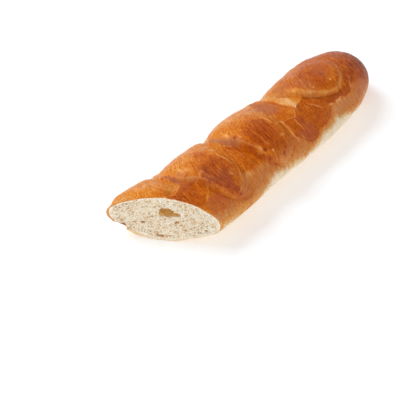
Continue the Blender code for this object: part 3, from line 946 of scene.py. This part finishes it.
def crumb_depths(across, up, from_crust):
    """Depth of the crumb behind the cut, and of its big bubble alone."""
    place = np.stack((across, up), axis=-1)
    depth = pore_depths(across, up) * (0.45 + 0.55 * ease(0.5 * MM, 3.0 * MM, from_crust))
    for hole in HOLES:
        depth = np.maximum(depth, HOLE_DEEPER * rounded_hole(across, up, hole, HOLE_RAGGED))
    bubble = np.zeros_like(depth)
    for hole in BIG_HOLE:
        bubble = np.maximum(bubble, rounded_hole(across, up, hole, BIG_HOLE_RAGGED))
    under_roof = ease(*BIG_HOLE_SLOPE, up)
    bubble = bubble * (BIG_HOLE_SHALLOW + (1.0 - BIG_HOLE_SHALLOW) * under_roof)
    rough = (noise(place, 1.3 * MM, 83) + 0.5 * noise(place, 0.65 * MM, 100)) / 1.5
    bubble = bubble - 0.2 * MM * rough * (bubble > 0.0)
    for nub_across, nub_up, nub_size in NUBS:
        far = np.hypot(across - nub_across * MM, up - nub_up * MM)
        bubble = bubble * (1.0 - bump_at(far, nub_size * MM))
    depth = np.maximum(depth, bubble)
    depth = depth + 0.25 * MM * noise(place, 9.0 * MM, 81)
    depth = depth + 0.32 * MM * noise(place, 0.95 * MM, 82)
    return depth * ease(0.0, 0.6 * MM, from_crust), bubble


def crumb_mesh():
    """The crumb: the cut face with its bubbles, and a plug behind it that fills the pocket."""
    spaced = even_angles()
    angle = spaced % 360.0
    thick = rim_thickness(spaced)
    height, _ = crust_fields(cut_line(angle), angle)
    height = height * plateau(spaced, OFF_BASE_ANGLES)
    edge = cut_ring(angle, 0.0, height - thick + CRUMB_OVERLAP)
    edge[:, 2] = np.maximum(edge[:, 2], 0.6 * thick)
    along_cut = np.array((-math.sin(CUT_ANGLE), math.cos(CUT_ANGLE), 0.0))
    into_loaf = np.array((math.cos(CUT_ANGLE), math.sin(CUT_ANGLE), 0.0))
    edge_across = edge @ along_cut - CRUMB_MIDDLE[0]
    edge_up = edge[:, 2] - CRUMB_MIDDLE[1]
    turns = np.arctan2(edge_up, edge_across)
    order = np.argsort(turns)
    turns = turns[order]
    reach = np.hypot(edge_across, edge_up)[order]

    # The unit circle is stretched to the cut's proportions before its directions are read.
    u, v = disc_grid(CRUMB_GRID)
    u = u * CRUMB_ASPECT
    direction = np.arctan2(v, u)
    radius = np.interp(direction, turns, reach, period=2.0 * math.pi)
    rim_length = np.hypot(np.cos(direction) / CRUMB_ASPECT, np.sin(direction))
    share = np.hypot(u, v) * rim_length
    across = CRUMB_MIDDLE[0] + radius * share * np.cos(direction)
    up = CRUMB_MIDDLE[1] + radius * share * np.sin(direction)

    depth, bubble = crumb_depths(across, up, (1.0 - share) * radius)
    front = np.outer(across, along_cut) + np.outer(depth, into_loaf)
    front[:, 2] = up

    count = CRUMB_GRID + 1
    low = np.arange(CRUMB_GRID * count).reshape(-1, count)[:, :-1].reshape(-1, 1)
    faces = (low + (0, 1, count + 1, count)).tolist()
    side = list(range(0, count * CRUMB_GRID, count))
    side += list(range(count * CRUMB_GRID, count * count - 1))
    side += list(range(count * count - 1, count - 1, -count))
    side += list(range(count - 1, 0, -1))
    ring = front[side]
    back = ring.mean(axis=0) + PLUG_TAPER * (ring - ring.mean(axis=0)) + (PLUG_DEPTH, 0.0, 0.0)
    back[:, 2] = np.maximum(back[:, 2], CRUST_THICKNESS)
    first = len(front)
    points = np.vstack((front, back, back.mean(axis=0)))
    total = len(side)
    for i in range(total):
        j = (i + 1) % total
        faces += [(side[i], side[j], first + j, first + i), (first + i, first + j, first + total)]
    plug = np.zeros(total + 1)
    # The depths are also kept for the crumb's colour, which paints shade into the pores and the
    # big bubble.
    masks = {
        name: np.concatenate((values, plug)) / MM
        for name, values in (("deep", depth), ("hollow", bubble))
    }
    return points, faces, masks


# --- Materials ---


def tone(*display):
    """Red, green and blue from 0 to 255 as the linear colour that shaders take."""
    linear = []
    for value in display:
        share = value / 255.0
        linear.append(share / 12.92 if share <= 0.04045 else ((share + 0.055) / 1.055) ** 2.4)
    return (*linear, 1.0)


class Shader:
    """A Principled material and short ways to add nodes to it."""

    def __init__(self, name):
        self.material = bpy.data.materials.new(name)
        self.material.use_nodes = True
        self.tree = self.material.node_tree
        self.body = self.tree.nodes["Principled BSDF"]
        self.place = self.add("TexCoord", "Object")

    def feed(self, socket, value):
        """Links an output to a socket, or sets the socket's own value."""
        if isinstance(value, bpy.types.NodeSocket):
            self.tree.links.new(value, socket)
        else:
            socket.default_value = value

    def add(self, kind, output, inputs=(), **settings):
        """Adds a node with its properties and inputs, and hands back one of its outputs."""
        node = self.tree.nodes.new("ShaderNode" + kind)
        for name, value in settings.items():
            setattr(node, name, value)
        for name, value in dict(inputs).items():
            self.feed(node.inputs[name], value)
        return node.outputs[output]

    def math(self, operation, *values, clamp=False):
        """One number worked out from others."""
        numbers = enumerate(values)
        return self.add("Math", 0, numbers, operation=operation, use_clamp=clamp)

    def mask(self, name):
        """A number stored on the mesh's points."""
        return self.add("Attribute", "Fac", attribute_name=name)

    def noise(self, size, detail, rough, place=None):
        """Smooth noise with features of a size in metres, from 0 to 1."""
        inputs = {"Scale": 1.0 / size, "Detail": detail, "Roughness": rough}
        return self.add("TexNoise", "Fac", {"Vector": place or self.place, **inputs})

    def flow(self, along, across):
        """A place that follows the stretch marks, scaled along and across them."""
        x = self.math("MULTIPLY", self.mask("flow_along"), along)
        y = self.math("MULTIPLY", self.mask("flow_across"), across)
        return self.add("CombineXYZ", "Vector", {"X": x, "Y": y})

    def span(self, value, low, high, to_low=0.0, to_high=1.0):
        """A number carried from one range to another, held at the ends."""
        names = ("Value", "From Min", "From Max", "To Min", "To Max")
        inputs = zip(names, (value, low, high, to_low, to_high))
        return self.add("MapRange", "Result", inputs, interpolation_type="SMOOTHSTEP")

    def mix(self, share, first, second):
        """Two colours mixed."""
        return self.add("Mix", 2, {0: share, 6: first, 7: second}, data_type="RGBA")

    def ramp(self, value, stops):
        """A colour read off a row of stops."""
        colour = self.add("ValToRGB", "Color", {0: value})
        elements = colour.node.color_ramp.elements
        while len(elements) < len(stops):
            elements.new(1.0)
        for element, (position, tint) in zip(elements, stops):
            element.position = position
            element.color = tint
        return colour

    def bump(self, height, strength, distance):
        """Fine relief from a height."""
        inputs = {"Height": height, "Strength": strength, "Distance": distance}
        return self.add("Bump", "Normal", inputs)

    def finish(self, **inputs):
        """Feeds the Principled shader's sockets, by their names with spaces as underscores."""
        for name, value in inputs.items():
            self.feed(self.body.inputs[name.replace("_", " ")], value)
        return self.material


# From unbaked to nearly burnt.
BAKE_TONES = (
    (0.0, tone(253, 238, 212)),
    (0.18, tone(236, 199, 148)),
    (0.35, tone(226, 154, 72)),
    (0.5, tone(214, 124, 28)),
    (0.65, tone(195, 94, 5)),
    (0.8, tone(165, 67, 2)),
    (1.0, tone(124, 46, 4)),
)


def crust_material():
    """Glossy baked skin: cream underneath, gold to brown on top, pinker where it stretched, with a
    painted purple-grey sheen along the score lips and the left side, and painted highlights among
    its pale marks.
    """
    s = Shader("crust")
    speckle = s.noise(1.0 * MM, 3.0, 0.65)
    mottle = s.noise(3.6 * MM, 3.0, 0.6)
    streaks = s.noise(1.0, 2.0, 0.5, place=s.flow(0.1, 0.55))
    hairs = s.noise(1.0, 1.0, 0.5, place=s.flow(0.18, 1.25))
    taut = s.span(s.mask("taut"), 0.0, 1.0, 0.3, 1.0)
    bake = s.mask("bake")
    calm = s.span(s.mask("blush"), 0.25, 0.8, 1.0, 0.5)
    calm = s.math("MULTIPLY", calm, s.span(bake, 0.6, 0.8, 1.0, 0.72))
    for pattern, strength, where in (
        (speckle, 0.8, calm),
        (mottle, 0.24, calm),
        (streaks, 0.5, taut),
        (hairs, 0.3, taut),
    ):
        swing = s.math("MULTIPLY_ADD", pattern, strength, -0.5 * strength)
        bake = s.math("ADD", bake, s.math("MULTIPLY", swing, where), clamp=pattern is hairs)
    colour = s.ramp(bake, BAKE_TONES)
    threads = s.math("MULTIPLY", s.span(hairs, 0.56, 0.68, 0.0, 0.4), taut)
    threads = s.math("MULTIPLY", threads, s.span(s.mask("bake"), 0.3, 0.55))
    colour = s.mix(threads, colour, tone(224, 146, 64))
    # The blush's colour: rosy low down, and above that the purple-grey that mostly stands for a
    # painted sheen.
    blush_sheen_tone = s.mix(s.mask("rosy"), tone(154, 100, 84), tone(176, 94, 80))
    blushed = s.mix(0.6, colour, blush_sheen_tone)
    most = s.math("POWER", s.mask("blush"), 4.0)
    blushed = s.mix(s.math("MULTIPLY", most, 0.6), blushed, blush_sheen_tone)
    colour = s.mix(s.mask("blush"), colour, blushed)
    # Pale specks, cracks and painted highlights, then flour and small scorched spots on the
    # underside.
    for mask, pattern, span, tint in (
        ("pale", speckle, (0.38, 0.6, 0.4, 1.0), tone(250, 188, 126)),
        ("floured", mottle, (0.62, 0.38, 0.0, 0.4), tone(238, 219, 190)),
        ("floured", speckle, (0.57, 0.68, 0.0, 0.5), tone(186, 152, 100)),
    ):
        share = s.math("MULTIPLY", s.mask(mask), s.span(pattern, *span))
        colour = s.mix(share, colour, tint)
    browned = s.span(s.mask("bake"), 0.15, 0.4)
    cut_crust = s.mix(browned, tone(234, 196, 154), tone(220, 160, 104))
    colour = s.mix(s.mask("rim"), colour, cut_crust)
    relief_height = s.math("ADD", speckle, s.math("ADD", streaks, hairs))
    return s.finish(
        Base_Color=colour,
        Roughness=s.span(mottle, 0.3, 0.7, 0.28, 0.42),
        Normal=s.bump(relief_height, 0.9, 0.32 * MM),
        Specular_IOR_Level=0.1,
    )


def crumb_material():
    """Soft open crumb, warm white, with painted shade that makes it darker and yellower inside the
    bubbles.
    """
    s = Shader("crumb")
    grain = s.noise(0.9 * MM, 2.0, 0.7)
    patches = s.noise(6.0 * MM, 2.0, 0.5)
    colour = s.mix(s.span(patches, 0.3, 0.7), tone(252, 237, 213), tone(255, 246, 227))
    # Painted shade: the deeper pores and the big bubble turn darker and yellower; the grain adds
    # random light and dark specks.
    for value, begins, full, most, tint in (
        (s.mask("deep"), 0.25, 1.6, 1.0, tone(224, 191, 146)),
        (grain, 0.52, 0.66, 0.7, tone(255, 250, 240)),
        (grain, 0.48, 0.36, 0.7, tone(212, 180, 136)),
        (s.mask("deep"), 1.0, 2.4, 0.9, tone(214, 162, 94)),
        (s.mask("hollow"), 0.4, 3.6, 0.9, tone(200, 147, 72)),
    ):
        colour = s.mix(s.span(value, begins, full, 0.0, most), colour, tint)
    return s.finish(
        Base_Color=colour,
        Roughness=0.85,
        Normal=s.bump(grain, 0.8, 0.5 * MM),
    )


def floor_material():
    """A white table that glows a little, so that the loaf's shadow on it stays faint."""
    s = Shader("floor")
    return s.finish(
        Base_Color=(0.6, 0.85, 0.95, 1.0),
        Roughness=0.9,
        Specular_IOR_Level=0.1,
        Emission_Color=(0.47, 0.28, 0.22, 1.0),
        Emission_Strength=1.0,
    )


# --- The scene ---


def add_to_scene(name, data):
    """A new object of the scene."""
    thing = bpy.data.objects.new(name, data)
    bpy.context.scene.collection.objects.link(thing)
    return thing


def add_piece(name, points, faces, masks, material):
    """A smooth mesh piece with its masks, in the frame's coordinates."""
    mesh = bpy.data.meshes.new(name)
    mesh.from_pydata((np.asarray(points) + np.array(OFFSET)).tolist(), [], faces)
    mesh.shade_smooth()
    mesh.materials.append(material)
    for mask, values in masks.items():
        layer = mesh.attributes.new(mask, "FLOAT", "POINT")
        layer.data.foreach_set("value", np.ascontiguousarray(values, dtype=np.float32))
    return add_to_scene(name, mesh)


def add_floor():
    """A wide white floor under the loaf."""
    mesh = bpy.data.meshes.new("floor")
    square = ((-1, -1), (1, -1), (1, 1), (-1, 1))
    corners = [(FLOOR_HALF * x, FLOOR_HALF * y, 0.0) for x, y in square]
    mesh.from_pydata(corners, [], [(0, 1, 2, 3)])
    mesh.materials.append(floor_material())
    return add_to_scene("floor", mesh)


def add_light(name, place, size, power, colour, aim):
    """A square area light turned towards a point."""
    light = bpy.data.lights.new(name, "AREA")
    light.size = size
    light.energy = power
    light.color = colour
    lamp = add_to_scene(name, light)
    lamp.location = place
    lamp.rotation_euler = (Vector(aim) - Vector(place)).to_track_quat("-Z", "Y").to_euler()


def add_camera():
    """The camera, looking down at the table from some way off."""
    turn = math.radians(CAMERA_TURN)
    tilt = math.radians(CAMERA_TILT)
    level = Vector((math.sin(turn), math.cos(turn), 0.0))
    forward = level * math.cos(tilt) - Vector((0.0, 0.0, math.sin(tilt)))
    camera = add_to_scene("camera", bpy.data.cameras.new("camera"))
    camera.data.lens = CAMERA_LENS
    camera.data.sensor_width = CAMERA_SENSOR
    camera.location = Vector(CAMERA_AIM) + OFFSET - forward * CAMERA_DISTANCE
    camera.rotation_euler = forward.to_track_quat("-Z", "Y").to_euler()
    bpy.context.scene.camera = camera


def add_world():
    """Even white light from all round."""
    world = bpy.data.worlds.new("world")
    world.use_nodes = True
    sky = world.node_tree.nodes["Background"].inputs
    sky["Color"].default_value = (1.0, 1.0, 1.0, 1.0)
    sky["Strength"].default_value = WORLD_STRENGTH
    bpy.context.scene.world = world


def main():
    """Builds the scene."""
    bpy.context.scene.view_settings.view_transform = "Standard"
    crust = add_piece("crust", *crust_mesh(), crust_material())
    crumb = add_piece("crumb", *crumb_mesh(), crumb_material())
    for piece, slot in ((crust, "crust"), (crumb, "crumb")):
        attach(piece, "root")
    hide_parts("baguette")
    add_floor()
    add_world()
    for light in LIGHTS:
        add_light(*light)
    add_camera()


main()
